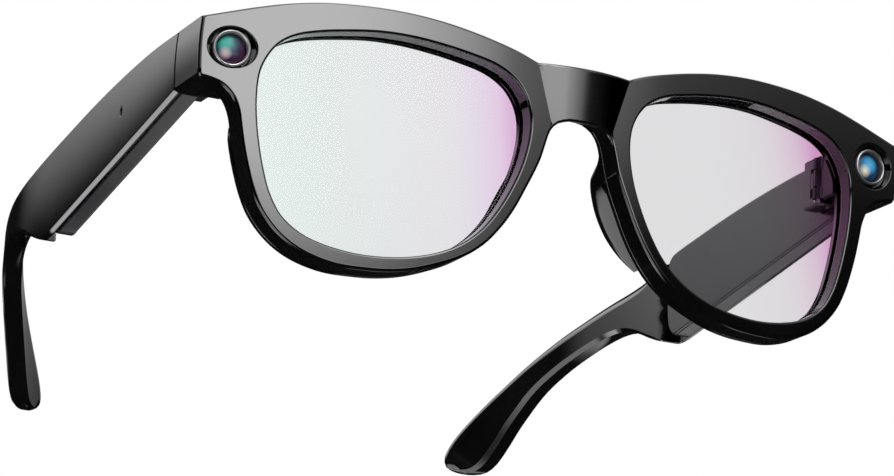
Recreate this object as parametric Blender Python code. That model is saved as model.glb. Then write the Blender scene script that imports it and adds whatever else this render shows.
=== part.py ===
"""Camera smart glasses with folding temples. Design units are millimetres: X is the wearer's left,
Y runs from the front face back along the temples, Z is up. The front body is the fixed one."""

import math

import bmesh
import bpy
from mathutils import Matrix, Vector
from mathutils.geometry import delaunay_2d_cdt

# ---- driving dimensions, millimetres ------------------------------------------------------------
REST_Z = 24.0  # the rim bottoms and the ear tips both lie this far under the design plane
MID_Y = -81.37  # puts the origin in the middle of the overall length
HALF_W = 73.0  # half of the overall width at the end-pieces
END_BOTTOM, END_TOP = 8.5, 20.0  # end-piece height range at its outer edge
SEAM_Y = 22.0  # back of the end-pieces, where the temples start
FRONT_T = 5.0  # depth of the front frame moulding at the rims
COVER_GAP = 0.3
COVER_T = 1.6  # depth of the rear cover behind it
RIM_BEVEL = 0.65
LENS_SEAT = 3.4  # depth of the lens pocket's shoulder behind the front face
LENS_T = 1.3
POCKET = 0.8  # how far the lens pocket is wider than the aperture
BRIDGE_CURVE = 0.0176  # how strongly the front of the bridge is rounded across, per millimetre
CAM_X, CAM_Z = 66.9, 14.7
RECESS_W, RECESS_H, BORE_R = 4.55, 3.9, 3.75  # half sizes of the oval camera recess, and its bore
RING_R, RING_IN = 3.5, 2.95
HINGE_X, HINGE_Y = 62.8, 22.6
SPLIT_T = 1.3  # thickness of the temple's outer shell
SPLIT_GAP = 0.3
TEMPLE_T = 5.2  # full thickness of the temple's housing
HOOK_T = 4.3
HOUSING_END = 95.0
STEP = 2.6  # spacing of the points along a curved edge

# Right-hand half of the front outline, from the top of the bridge round to its underside.
# A third value marks a sharp corner.
FRONT_HALF = [
    (9.4, 20.0, 1), (13.5, 21.6), (18.0, 22.9), (23.0, 24.1), (29.0, 25.2), (36.0, 25.9),
    (43.0, 26.0), (50.0, 25.6), (57.0, 24.5), (63.0, 23.0), (68.0, 21.5), (HALF_W, END_TOP, 1),
    (HALF_W, END_BOTTOM, 1), (70.5, 8.2), (68.2, 7.4), (66.4, 5.7), (65.2, 3.0), (64.6, 0.0),
    (63.9, -3.5), (63.0, -7.0), (61.7, -11.0), (59.9, -14.8), (57.2, -18.2), (54.0, -20.8),
    (50.3, -22.6), (45.5, -23.8), (40.5, -24.0), (36.0, -23.8), (31.5, -23.0), (27.0, -21.5),
    (22.0, -19.2), (18.0, -16.2), (14.8, -12.4), (12.4, -8.5), (10.4, -4.3), (8.9, -1.0),
    (7.8, 1.8), (7.1, 4.4), (6.2, 7.3), (4.9, 8.8), (2.9, 9.5),
]
APERTURE = [
    (61.7, 6.5), (61.4, 10.8), (60.2, 14.0), (58.3, 16.6), (55.5, 18.4), (51.5, 19.6), (46.0, 20.5),
    (40.0, 21.1), (34.0, 21.0), (28.0, 20.3), (22.5, 19.3), (17.5, 18.0), (14.0, 16.0), (11.9, 13.5),
    (10.7, 10.5), (10.4, 7.0), (10.8, 3.5), (11.8, -0.5), (13.5, -4.8), (15.8, -9.2), (18.6, -13.2),
    (22.0, -16.3), (26.0, -18.6), (31.0, -20.2), (36.5, -21.0), (42.0, -21.0), (47.5, -20.1),
    (52.0, -18.5), (55.7, -15.7), (58.0, -12.0), (59.4, -8.0), (60.6, -3.0), (61.4, 2.0),
]
# Side profile of a temple with its ear hook, from the top of the front end round.
TEMPLE = [
    (22.3, 20.8, 1), (30.0, 20.9), (38.0, 20.8), (49.0, 20.2), (60.0, 19.3), (72.0, 18.0),
    (84.0, 16.4), (96.0, 14.7), (106.0, 13.1), (115.0, 11.6), (123.0, 10.2), (131.0, 8.0),
    (139.0, 4.9), (147.0, 0.2), (154.0, -5.7), (159.2, -11.2), (162.8, -16.2), (164.3, -20.0),
    (163.9, -22.4), (162.2, -23.6), (159.8, -24.0), (157.4, -23.6), (155.4, -21.9), (153.2, -18.6), (149.9, -13.2),
    (144.6, -6.8), (138.5, -2.6), (132.0, 0.2), (126.0, 1.9), (120.5, 2.7), (115.5, 2.5),
    (110.5, 1.2), (105.0, -0.9), (100.0, -2.5), (96.0, -3.4), (92.0, -3.2, 1), (22.3, 8.5, 1),
]
TEMPLE_TOP = TEMPLE[:9]


def face_y(x):
    """Depth of the gently wrapped front face."""
    return 0.00264 * x * x - 1.5e-7 * x**4


def outer_x(y):
    """Outer face of a temple: straight along the housing, drawn in along the ear hook."""
    return 72.9 - 0.009 * (y - 15) - 9.6e-5 * max(0.0, y - 95) ** 2.9


def temple_bottom(y):
    return 8.5 - (y - 22.3) * (11.7 / 69.7)


def temple_top(y):
    for a, b in zip(TEMPLE_TOP, TEMPLE_TOP[1:]):
        if y <= b[0]:
            return a[1] + (b[1] - a[1]) * (y - a[0]) / (b[0] - a[0])
    return TEMPLE_TOP[-1][1]


# ---- outlines -----------------------------------------------------------------------------------
def smooth(points, step=STEP):
    """A closed loop through the points, curved everywhere but at the marked corners."""
    n = len(points)
    out = []
    for i in range(n):
        b, c = points[i], points[(i + 1) % n]
        a, d = points[i - 1], points[(i + 2) % n]
        p1, p2 = Vector(b[:2]), Vector(c[:2])
        p0 = p1 * 2 - p2 if len(b) > 2 else Vector(a[:2])
        p3 = p2 * 2 - p1 if len(c) > 2 else Vector(d[:2])
        out.append((b[0], b[1]))
        if len(b) > 2 and len(c) > 2:
            continue
        count = max(1, round((p2 - p1).length / step))
        m1 = (p2 - p0) * ((p2 - p1).length / max((p2 - p1).length + (p1 - p0).length, 1e-6))
        m2 = (p3 - p1) * ((p2 - p1).length / max((p2 - p1).length + (p3 - p2).length, 1e-6))
        for k in range(1, count):
            t = k / count
            h = (2 * t**3 - 3 * t**2 + 1) * p1 + (t**3 - 2 * t**2 + t) * m1
            h += (-2 * t**3 + 3 * t**2) * p2 + (t**3 - t**2) * m2
            out.append((h.x, h.y))
    return out


def area(loop):
    return sum(a[0] * b[1] - b[0] * a[1] for a, b in zip(loop, loop[1:] + loop[:1])) / 2


def ccw(loop):
    return loop if area(loop) > 0 else loop[::-1]


def shrink(loop, d):
    """Moves a counter-clockwise loop inwards by d; a negative d moves it outwards."""
    if not d:
        return list(loop)
    out = []
    n = len(loop)
    for i in range(n):
        p0, p1, p2 = Vector(loop[i - 1]), Vector(loop[i]), Vector(loop[(i + 1) % n])
        e1, e2 = (p1 - p0).normalized(), (p2 - p1).normalized()
        n1, n2 = Vector((-e1.y, e1.x)), Vector((-e2.y, e2.x))
        m = (n1 + n2).normalized()
        m = m * (d / max(m.dot(n1), 0.5))
        out.append((p1.x + m.x, p1.y + m.y))
    return out


def inside(p, loop):
    hit = False
    for a, b in zip(loop, loop[1:] + loop[:1]):
        if (a[1] > p[1]) != (b[1] > p[1]) and p[0] < a[0] + (b[0] - a[0]) * (p[1] - a[1]) / (b[1] - a[1]):
            hit = not hit
    return hit


def fill(outer, holes, extra=(), creases=()):
    """Triangles of a region with holes. Indices count the loops' points in order, then the extra ones."""
    loops = [outer, *holes]
    points = [Vector(p) for loop in loops for p in loop] + [Vector(p) for p in extra]
    edges, start = [], 0
    for loop in loops:
        edges += [(start + k, start + (k + 1) % len(loop)) for k in range(len(loop))]
        start += len(loop)
    edges += [(start + a, start + b) for a, b in creases]
    made, _, faces, origin, _, _ = delaunay_2d_cdt(points, edges, [], 0, 1e-7)
    back = {k: o[0] for k, o in enumerate(origin) if o}
    out = []
    for f in faces:
        middle = sum((made[k] for k in f), Vector((0, 0))) / 3
        if inside(middle, outer) and not any(inside(middle, h) for h in holes):
            out.append([back[k] for k in f])
    return out


# ---- solids -------------------------------------------------------------------------------------
def as_object(name, points, faces):
    mesh = bpy.data.meshes.new(name)
    mesh.from_pydata([Vector(p) for p in points], [], faces)
    bm = bmesh.new()
    bm.from_mesh(mesh)
    bmesh.ops.remove_doubles(bm, verts=bm.verts, dist=1e-5)
    bmesh.ops.recalc_face_normals(bm, faces=bm.faces)
    if bm.calc_volume(signed=True) < 0:
        bmesh.ops.reverse_faces(bm, faces=bm.faces)
    bm.to_mesh(mesh)
    bm.free()
    obj = bpy.data.objects.new(name, mesh)
    bpy.context.scene.collection.objects.link(obj)
    return obj


def front_place(u, v, d):
    """The underside of the bridge climbs towards the back, so the arch rests on the nose."""
    near = max(0.0, 1 - (u / 8.5) ** 2) * min(max((14.0 - v) / 4.5, 0.0), 1.0)
    return (u, d, v + 0.32 * near * (d - face_y(u)))


def side_place(sign):
    return lambda u, v, d: (-sign * d, u, v)


def plate(name, outer, levels, front, back, place, holes=(), pockets=(), extra=(), press=None):
    """A solid between two depth fields. Levels are (inset, field, shift) from the front cap to the back
    one; holes carry levels of their own, and pockets open on the back down to a floor."""
    points, faces = [], []
    field = {"f": lambda u, v: front(u, v), "b": lambda u, v: back(u, v)}

    def ring(loop, base, shift, pressed=False):
        first = len(points)
        for u, v in loop:
            d = field[base](u, v) + (shift if base == "f" else -shift)
            if pressed and press:
                d += press(u, v)
            points.append(place(u, v, d))
        return list(range(first, len(points)))

    def wall(a, b):
        for k in range(len(a)):
            j = (k + 1) % len(a)
            faces.append([a[k], a[j], b[j]])
            faces.append([a[k], b[j], b[k]])

    caps = {0: [], 1: []}
    for loop, lv, sign in [(ccw(outer), levels, 1)] + [(ccw(h), hl, -1) for h, hl in holes]:
        rings = []
        for inset, base, shift in lv:
            moved = shrink(loop, sign * inset)
            rings.append((moved, ring(moved, base, shift, base == "f")))
        for (_, a), (_, b) in zip(rings, rings[1:]):
            wall(a, b)
        caps[0].append(rings[0])
        caps[1].append(rings[-1])
    for loop, floor in pockets:
        loop = ccw(loop)
        mouth, bottom = ring(loop, "b", 0), ring(loop, "f", floor)
        wall(mouth, bottom)
        caps[1].append((loop, mouth))
        faces.extend([bottom[k] for k in t] for t in fill(loop, []))
    for side, rings in caps.items():
        more, seams = (extra if side == 0 and extra else ([], []))
        index = [k for _, r in rings for k in r]
        if side == 0:
            first = len(points)
            for u, v in more:
                points.append(place(u, v, front(u, v) + (press(u, v) if press else 0)))
            index += list(range(first, len(points)))
        for t in fill(rings[0][0], [r for r, _ in rings[1:]], more, seams):
            faces.append([index[k] for k in t])
    return as_object(name, points, faces)


def prism(name, outline, x0, x1, sign):
    """A flat slab with a side outline in (y, z), between two X values on one side."""
    n = len(outline)
    points = [(sign * x0, y, z) for y, z in outline] + [(sign * x1, y, z) for y, z in outline]
    faces = [list(range(n)), list(range(2 * n - 1, n - 1, -1))]
    faces += [[k, (k + 1) % n, n + (k + 1) % n, n + k] for k in range(n)]
    return as_object(name, points, faces)


def box(name, x0, x1, y0, y1, z0, z1, bevel=0.0):
    points = [(x, y, z) for x in (x0, x1) for y in (y0, y1) for z in (z0, z1)]
    faces = [[0, 1, 3, 2], [4, 6, 7, 5], [0, 4, 5, 1], [2, 3, 7, 6], [0, 2, 6, 4], [1, 5, 7, 3]]
    obj = as_object(name, points, faces)
    if bevel:
        bm = bmesh.new()
        bm.from_mesh(obj.data)
        bmesh.ops.bevel(bm, geom=bm.edges[:], offset=bevel, segments=1, affect="EDGES")
        bm.to_mesh(obj.data)
        bm.free()
    return obj


def turned(name, profile, centre, axis, n=24):
    """A solid of revolution. The profile holds (radius, height) pairs; a zero radius closes on the axis."""
    turn = Vector((0, 0, 1)).rotation_difference(Vector(axis)).to_matrix()
    points, faces, rings = [], [], []
    for r, h in profile:
        if r == 0:
            rings.append([len(points)] * n)
            points.append(Vector(centre) + turn @ Vector((0, 0, h)))
            continue
        rings.append(list(range(len(points), len(points) + n)))
        for k in range(n):
            a = math.tau * k / n
            points.append(Vector(centre) + turn @ Vector((r * math.cos(a), r * math.sin(a), h)))
    closed = profile[0][0] > 0
    pairs = list(zip(rings, rings[1:])) + ([(rings[-1], rings[0])] if closed else [])
    for a, b in pairs:
        for k in range(n):
            j = (k + 1) % n
            face = []
            for v in (a[k], a[j], b[j], b[k]):
                if v not in face:
                    face.append(v)
            if len(face) > 2:
                faces.append(face)
    return as_object(name, points, faces)


def combine(obj, other, operation):
    """Applies a Boolean and removes the other object."""
    modifier = obj.modifiers.new("cut", "BOOLEAN")
    modifier.operation = operation
    modifier.solver = "EXACT"
    modifier.object = other
    bpy.context.view_layer.update()
    done = bpy.data.meshes.new_from_object(obj.evaluated_get(bpy.context.evaluated_depsgraph_get()))
    obj.modifiers.clear()
    obj.data = done
    bpy.data.objects.remove(other)
    return obj


# ---- front body ---------------------------------------------------------------------------------
def swell(u, v):
    """The bridge swells forward between two creases, most on the centre line."""
    edge = 6.0 + (9.6 - 6.0) * (v - 7.6) / (20.0 - 7.6)
    if edge <= 0 or abs(u) >= edge - 1e-4:
        return 0.0
    return -BRIDGE_CURVE * (edge**2 - u**2)


def mirrored(loop):
    return [(-u, v) for u, v in loop][::-1]


def front_outline():
    half = [(3.2, 20.0), (6.4, 20.0), *smooth_open(FRONT_HALF)]
    return [(0.0, 20.0), *half, (0.0, 9.6), *((-u, v) for u, v in half[::-1])]


def smooth_open(points):
    """The half outline with its ends left where they are."""
    ends = [tuple(points[0][:2]) + (1,), *points[1:-1], tuple(points[-1][:2]) + (1,)]
    loop = smooth(ends)
    last = loop.index((points[-1][0], points[-1][1]))
    return loop[: last + 1]


def cover_outline():
    """The rear cover follows the rims and stops short of the end-piece blocks."""
    half = smooth_open(FRONT_HALF)
    top = [p for p in half[: half.index((HALF_W, END_TOP))] if p[0] < 62.6]
    low = [p for p in half[half.index((HALF_W, END_BOTTOM)) :] if p[1] < 3.2 or p[0] < 50]
    half = top + [(63.4, 22.5), (63.4, 4.4)] + [p for p in low if p[0] < 64.9]
    half = [(min(u, 64.4), v) for u, v in half]
    return [*half, (0.0, 9.6), *((-u, v) for u, v in half[::-1])]


def make_front():
    outline = front_outline()
    seat = [(RIM_BEVEL, "f", 0), (0, "f", RIM_BEVEL), (0, "f", LENS_SEAT), (POCKET, "f", LENS_SEAT), (POCKET, "b", 0)]
    holes = []
    for sign in (1, -1):
        window = smooth(APERTURE)
        holes.append((window if sign > 0 else mirrored(window), seat))
    lines = []
    seams = []
    for sign in (-1, 1):
        first = len(lines)
        for k in range(7):
            t = 0.16 + 0.73 * k / 6
            lines.append((sign * (6.0 + 3.6 * t), 7.6 + 12.4 * t))
        seams += [(first + k, first + k + 1) for k in range(6)]
    for k in range(4):
        lines += [(u, 11.4 + 2.2 * k) for u in (-5.0, -2.5, 0.0, 2.5, 5.0)]
    frame = plate(
        "front_frame", outline,
        [(RIM_BEVEL, "f", 0), (0, "f", RIM_BEVEL), (0, "b", 0)],
        lambda u, v: face_y(u), lambda u, v: face_y(u) + FRONT_T, front_place,
        holes=holes, extra=(lines, seams), press=swell,
    )
    for sign in (1, -1):
        side = [(64.0, 22.6), (68.0, 21.45), (HALF_W - 0.03, END_TOP - 0.08), (HALF_W - 0.03, END_BOTTOM + 0.06),
                (64.0, END_BOTTOM + 0.06)]
        points = [(sign * u, y, v) for y in (face_y(HALF_W) + RIM_BEVEL + 0.05, SEAM_Y) for u, v in side]
        n = len(side)
        faces = [list(range(n)), list(range(2 * n - 1, n - 1, -1))]
        faces += [[k, (k + 1) % n, n + (k + 1) % n, n + k] for k in range(n)]
        block = as_object("block", points, faces)
        combine(frame, block, "UNION")
        bay = box("bay", sign * 64.8, sign * 71.6, face_y(CAM_X) + 4.2, SEAM_Y + 1, 10.2, 18.9)
        combine(frame, bay, "DIFFERENCE")
        mouth = BORE_R if sign < 0 else BORE_R + 0.3
        out = normal_at(CAM_X)
        out.x *= sign
        bore = turned("bore", [(0, -6), (BORE_R, -6), (BORE_R, -1.3), (mouth, -0.6), (mouth, 0.8), (0, 0.8)],
                      (sign * CAM_X, face_y(CAM_X), CAM_Z), out, n=28)
        combine(frame, bore, "DIFFERENCE")
        if sign < 0:
            oval = turned("oval", [(0, -1.2), (1, -1.2), (1, 0.8), (0, 0.8)], (0, 0, 0), out, n=32)
            oval.data.transform(Matrix.Translation((sign * CAM_X, face_y(CAM_X), CAM_Z))
                                @ Matrix.Diagonal((RECESS_W, 1, RECESS_H, 1)))
            combine(frame, oval, "DIFFERENCE")
    return frame


def pad(sign):
    """A nose pad lobe that grows out of the back of the rim beside the bridge."""
    path = [(7.4, 4.0), (8.1, 1.0), (9.3, -2.0), (10.7, -5.0), (12.3, -8.2), (14.3, -11.4), (16.6, -14.4)]
    points, n = [], 8
    for k, (u, v) in enumerate(path):
        a, b = path[max(k - 1, 0)], path[min(k + 1, len(path) - 1)]
        along = Vector((b[0] - a[0], b[1] - a[1])).normalized()
        normal = Vector((along.y, -along.x))
        if normal.x > 0:
            normal = -normal
        t = k / (len(path) - 1)
        rise = math.sin(math.pi * (0.06 + 0.88 * t)) ** 0.8
        depth, bulge = 5.6 * rise, 1.0 * rise
        back = face_y(u) + FRONT_T + COVER_GAP + COVER_T
        shape = [(-0.5, -1.0), (bulge * 0.45, depth * 0.22), (bulge, depth * 0.55), (bulge * 0.8, depth * 0.85),
                 (-0.2, depth), (-1.3, depth * 0.9), (-1.9, depth * 0.5), (-2.1, -1.0)]
        for out, deep in shape:
            points.append((sign * (u + normal.x * out), back + deep, v + normal.y * out))
    faces = [list(range(n)), list(range(len(points) - 1, len(points) - n - 1, -1))]
    for k in range(len(path) - 1):
        for j in range(n):
            i = (j + 1) % n
            a, b, c, d = k * n + j, k * n + i, (k + 1) * n + i, (k + 1) * n + j
            faces += [[a, b, c], [a, c, d]]
    return as_object("pad", points, faces)


def make_cover():
    start = FRONT_T + COVER_GAP
    window = smooth(APERTURE)
    edge = [(0, "f", 0), (0, "b", 0.4), (0.4, "b", 0)]
    cover = plate(
        "rear_cover", cover_outline(), edge,
        lambda u, v: face_y(u) + start, lambda u, v: face_y(u) + start + COVER_T, front_place,
        holes=[(window, edge), (mirrored(window), edge)],
    )
    for sign in (1, -1):
        combine(cover, pad(sign), "UNION")
    return cover


def normal_at(x):
    slope = 2 * 0.00264 * x - 4 * 1.5e-7 * x**3
    return Vector((slope, -1, 0)).normalized()


def make_optics(sign, side):
    window = shrink(ccw(smooth(APERTURE)), -(POCKET - 0.3))
    if sign < 0:
        window = mirrored(window)
    level = LENS_SEAT + 0.15
    plate("lens_" + side, window, [(0, "f", 0), (0, "b", 0)],
          lambda u, v: face_y(u) + level, lambda u, v: face_y(u) + level + LENS_T, front_place,
          extra=([(sign * u, v) for u in (16, 23, 30, 37, 44, 51, 57) for v in (-12, -4, 4, 12)], []))
    out = normal_at(CAM_X)
    out.x *= sign
    at = Vector((sign * CAM_X, face_y(CAM_X), CAM_Z))
    turned("camera_ring_" + side,
           [(RING_R, -0.4), (RING_R, -3.0), (RING_IN, -3.0), (RING_IN, -0.55), (3.15, -0.25), (3.3, -0.25)],
           at, out)
    dome = [(2.75, -1.6)] + [(2.75 * math.cos(a), -1.55 + 0.75 * math.sin(a)) for a in (0.1, 0.5, 0.9, 1.25)]
    turned("camera_window_" + side, [(0, -2.6), (2.75, -2.6), *dome[1:], (0, -0.8)], at, out)
    back = face_y(CAM_X)
    turned("camera_module_" + side,
           [(0, 0), (2.1, 0), (2.1, 3.2), (3.0, 3.2), (3.0, 5.0), (0, 5.0)],
           (sign * 68.1, back + 4.7, CAM_Z), (0, 1, 0), n=20)
    box("endpiece_cap_" + side, *sorted((sign * 65.1, sign * 71.3)), SEAM_Y - 1.5, SEAM_Y - 0.3, 10.5, 18.6, 0.2)


def make_bracket(sign, side):
    """Front half of the hinge: a plate on the end-piece's inner wall with two knuckles."""
    body = box("hinge_bracket_" + side, *sorted((sign * 62.3, sign * 63.7)), 16.2, 21.2, 10.2, 18.9, 0.15)
    for z in (10.4, 16.5):
        knuckle = turned("knuckle", [(0, 0), (1.3, 0), (1.3, 2.2), (0, 2.2)],
                         (sign * HINGE_X, HINGE_Y, z), (0, 0, 1), n=20)
        arm = box("arm", *sorted((sign * 62.2, sign * 63.4)), 20.5, 22.6, z + 0.05, z + 2.15)
        combine(body, combine(knuckle, arm, "UNION"), "UNION")
    combine(body, turned("bore", [(0, -1), (0.75, -1), (0.75, 14), (0, 14)],
                         (sign * HINGE_X, HINGE_Y, 8), (0, 0, 1), n=20), "DIFFERENCE")
    turned("hinge_pin_" + side, [(0, -0.7), (1.15, -0.7), (1.15, -0.1), (0.6, -0.1), (0.6, 8.6), (0, 8.6)],
           (sign * HINGE_X, HINGE_Y, 10.2), (0, 0, 1), n=20)


# ---- temples ------------------------------------------------------------------------------------
def thickness(y):
    """Outer shell thickness: thin beside the cover, full along the ear hook."""
    t = min(max((y - HOUSING_END - 0.8) / 4.0, 0.0), 1.0)
    return SPLIT_T + (HOOK_T - SPLIT_T) * t


def make_shell(sign, side):
    outline = smooth(TEMPLE)
    holes = []
    if side == "right":
        slot = [(52 + 0.65 * math.cos(a), 12.2 + 0.95 * math.sin(a)) for a in (math.tau * k / 12 for k in range(12))]
        holes = [(slot, [(0, "f", 0), (0, "b", 0)])]
    plate("temple_shell_" + side, outline,
          [(0.75, "f", 0), (0, "f", 0.75), (0, "b", 0.3), (0.3, "b", 0)],
          lambda u, v: -outer_x(u), lambda u, v: -outer_x(u) + thickness(u), side_place(sign), holes=holes,
          extra=([(y, temple_bottom(min(y, 92)) + k * 5.0) for y in range(30, 126, 8) for k in (1, 2)
                  if y < 100], []))


def cover_side():
    """Side outline of the inner cover: it stops under the top edge and ends with a rounded rise."""
    top = [(y, temple_top(y) - 0.05) for y in (22.5, 30, 38, 49, 60, 72, 84, 90)]
    end = [(92.6, temple_top(92.6) - 0.6), (94.2, temple_top(94.2) - 2.4), (94.6, 9.0), (94.4, 3.0), (93.6, -1.0), (91.4, -3.0)]
    low = [(88.0, temple_bottom(88) - 0.05), (22.5, temple_bottom(22.5) - 0.05)]
    return top + end + low


def make_temple_cover(sign, side):
    outline = ccw(cover_side())
    start = SPLIT_T + SPLIT_GAP
    inner = shrink(outline, 1.2)
    # The pocket faces the outer shell, so the depth fields run from the inner face outwards.
    place = side_place(sign)
    cover = plate("temple_cover_" + side, outline,
                  [(0.55, "f", 0), (0, "f", 0.55), (0, "b", 0)],
                  lambda u, v: outer_x(u) - TEMPLE_T, lambda u, v: outer_x(u) - start,
                  lambda u, v, d: place(u, v, -d), pockets=[(inner, 1.2)])
    if side == "right":
        slot = box("slot", *sorted((sign * 68.1, sign * 70.1)), 30.0, 38.4, 17.0, 24.0)
        combine(cover, slot, "DIFFERENCE")


def make_leaf(sign, side):
    """Rear half of the hinge: a slotted block on the temple's inner face with one knuckle."""
    leaf = box("hinge_leaf_" + side, *sorted((sign * 63.9, sign * 67.5)), 24.4, 31.2, 10.2, 20.2, 0.35)
    slot = box("slot", *sorted((sign * 62.0, sign * 65.2)), 26.9, 28.3, 12.0, 18.0)
    combine(leaf, slot, "DIFFERENCE")
    knuckle = turned("knuckle", [(0, 0), (1.3, 0), (1.3, 3.3), (0, 3.3)],
                     (sign * HINGE_X, HINGE_Y, 12.9), (0, 0, 1), n=20)
    arm = box("arm", *sorted((sign * 62.3, sign * 64.6)), 22.6, 25.2, 12.95, 16.15)
    combine(leaf, combine(knuckle, arm, "UNION"), "UNION")
    combine(leaf, turned("bore", [(0, -1), (0.75, -1), (0.75, 8), (0, 8)],
                         (sign * HINGE_X, HINGE_Y, 11), (0, 0, 1), n=20), "DIFFERENCE")


def slab(name, sign, y0, y1, lift, height, x0, x1):
    """A flat piece that follows the temple's slope."""
    prism(name, [(y0, temple_bottom(y0) + lift), (y1, temple_bottom(y1) + lift),
                 (y1, temple_bottom(y1) + lift + height), (y0, temple_bottom(y0) + lift + height)], x0, x1, sign)


def make_inside(sign, side):
    if side == "right":
        slab("main_board_right", sign, 42, 76, 2.0, 10.5, 68.9, 69.7)
        turned("microphone_right", [(0, 0), (1.3, 0), (1.3, 0.7), (0, 0.7)], (sign * 69.8, 52, 12.2), (sign, 0, 0), n=16)
        box("capture_button", *sorted((sign * 68.3, sign * 69.9)), 30.3, 38.1, 18.6, 21.5, 0.3)
    else:
        slab("battery_left", sign, 42, 76, 2.2, 11.0, 68.8, 70.2)
        slab("touch_board_left", sign, 27, 39, 2.4, 8.5, 69.2, 70.0)
    slab("speaker_" + side, sign, 78.5, 90.5, 2.6, 9.5, 68.6, 70.0)


# ---- build --------------------------------------------------------------------------------------
def finish_nodes():
    looks = {
        "lens": (0.85, 0.83, 0.88), "camera_ring": (0.35, 0.35, 0.36), "camera_window": (0.05, 0.18, 0.25),
        "camera_module": (0.03, 0.03, 0.03), "hinge": (0.25, 0.25, 0.26), "battery": (0.5, 0.5, 0.52),
        "main_board": (0.02, 0.2, 0.08), "touch_board": (0.02, 0.2, 0.08), "speaker": (0.08, 0.08, 0.08),
        "microphone": (0.6, 0.6, 0.6),
    }
    shift = Vector((0, MID_Y, REST_Z))
    for obj in sorted(bpy.data.objects, key=lambda o: o.name):
        side = -1 if obj.name.endswith("right") or obj.name == "capture_button" else 1
        moving = obj.name.startswith(("temple_", "hinge_leaf", "main_board", "battery", "speaker",
                                      "touch_board", "microphone", "capture"))
        pivot = (Vector((side * HINGE_X, HINGE_Y, 14.5)) + shift) / 1000 if moving else Vector((0, 0, 0))
        obj.data.transform(Matrix.Translation(-pivot) @ Matrix.Scale(0.001, 4) @ Matrix.Translation(shift))
        obj.location = pivot
        for poly in obj.data.polygons:
            poly.use_smooth = True
        obj.data.set_sharp_from_angle(angle=math.radians(28))
        colour = next((c for start, c in looks.items() if obj.name.startswith(start)), (0.02, 0.02, 0.022))
        material = bpy.data.materials.new(obj.name)
        material.use_nodes = True
        shader = material.node_tree.nodes["Principled BSDF"]
        shader.inputs["Base Color"].default_value = (*colour, 1)
        shader.inputs["Roughness"].default_value = 0.15
        obj.data.materials.clear()
        obj.data.materials.append(material)


def main():
    for obj in list(bpy.data.objects):
        bpy.data.objects.remove(obj)
    make_front()
    make_cover()
    for sign, side in ((-1, "right"), (1, "left")):
        make_optics(sign, side)
        make_bracket(sign, side)
        make_shell(sign, side)
        make_temple_cover(sign, side)
        make_leaf(sign, side)
        make_inside(sign, side)
    finish_nodes()


main()
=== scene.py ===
import math

import bmesh
import bpy
import numpy as np
from mathutils import Matrix, Vector
from mathutils.geometry import delaunay_2d_cdt


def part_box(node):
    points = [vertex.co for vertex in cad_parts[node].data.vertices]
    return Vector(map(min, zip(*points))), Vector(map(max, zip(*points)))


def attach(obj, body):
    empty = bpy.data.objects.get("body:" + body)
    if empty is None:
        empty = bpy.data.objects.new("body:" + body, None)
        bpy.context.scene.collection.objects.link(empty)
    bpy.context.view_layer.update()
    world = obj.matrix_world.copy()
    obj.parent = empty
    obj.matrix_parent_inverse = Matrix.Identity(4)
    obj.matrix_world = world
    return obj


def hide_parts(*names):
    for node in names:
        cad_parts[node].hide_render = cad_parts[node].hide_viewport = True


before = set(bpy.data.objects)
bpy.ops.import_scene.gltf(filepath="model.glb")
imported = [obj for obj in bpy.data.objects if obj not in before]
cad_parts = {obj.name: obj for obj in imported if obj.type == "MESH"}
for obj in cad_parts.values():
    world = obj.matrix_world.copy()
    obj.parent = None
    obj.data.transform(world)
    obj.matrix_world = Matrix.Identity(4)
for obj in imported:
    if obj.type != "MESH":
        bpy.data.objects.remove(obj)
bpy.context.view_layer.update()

# ---- driving dimensions, design millimetres: X the wearer's left, Y back along the temples, Z up ----
SEAM_Y = 22.0  # back of the end-pieces
REST_Z = 24.0
MID_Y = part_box("front_frame")[1].y * 1000 - SEAM_Y
HALF_W = 73.0
END_BOTTOM, END_TOP = 8.5, 20.0
FRONT_T, COVER_GAP, COVER_T = 5.0, 0.3, 1.6
LENS_SEAT, LENS_T, POCKET = 3.4, 1.3, 0.8
CAM_X, CAM_Z = 66.9, 14.7
RECESS_W, RECESS_H, BORE_R = 4.55, 3.9, 3.75  # half sizes of the oval camera recess, and its bore
SPLIT_T, SPLIT_GAP, TEMPLE_T, HOOK_T = 1.3, 0.3, 5.2, 4.3
HOUSING_END = 95.0
BRIDGE_CURVE = 0.0176  # how strongly the front of the bridge is rounded across, per millimetre
CROWN = 0.28  # how far the temple's outer face falls away at its edges
STEP = 0.9  # spacing of the points along a curved edge
PITCH = 1.7  # spacing of the points inside a face

# What the capture button's slot in the right cover spans in x, y and z
BUTTON_SLOT = ((-70.1, -68.1), (30.0, 38.4), (17.0, 24.0))
FLOOR_Z, FLOOR_REACH = -0.36, 4  # metres: the photo looks up from below, so the floor is far under the object

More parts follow.
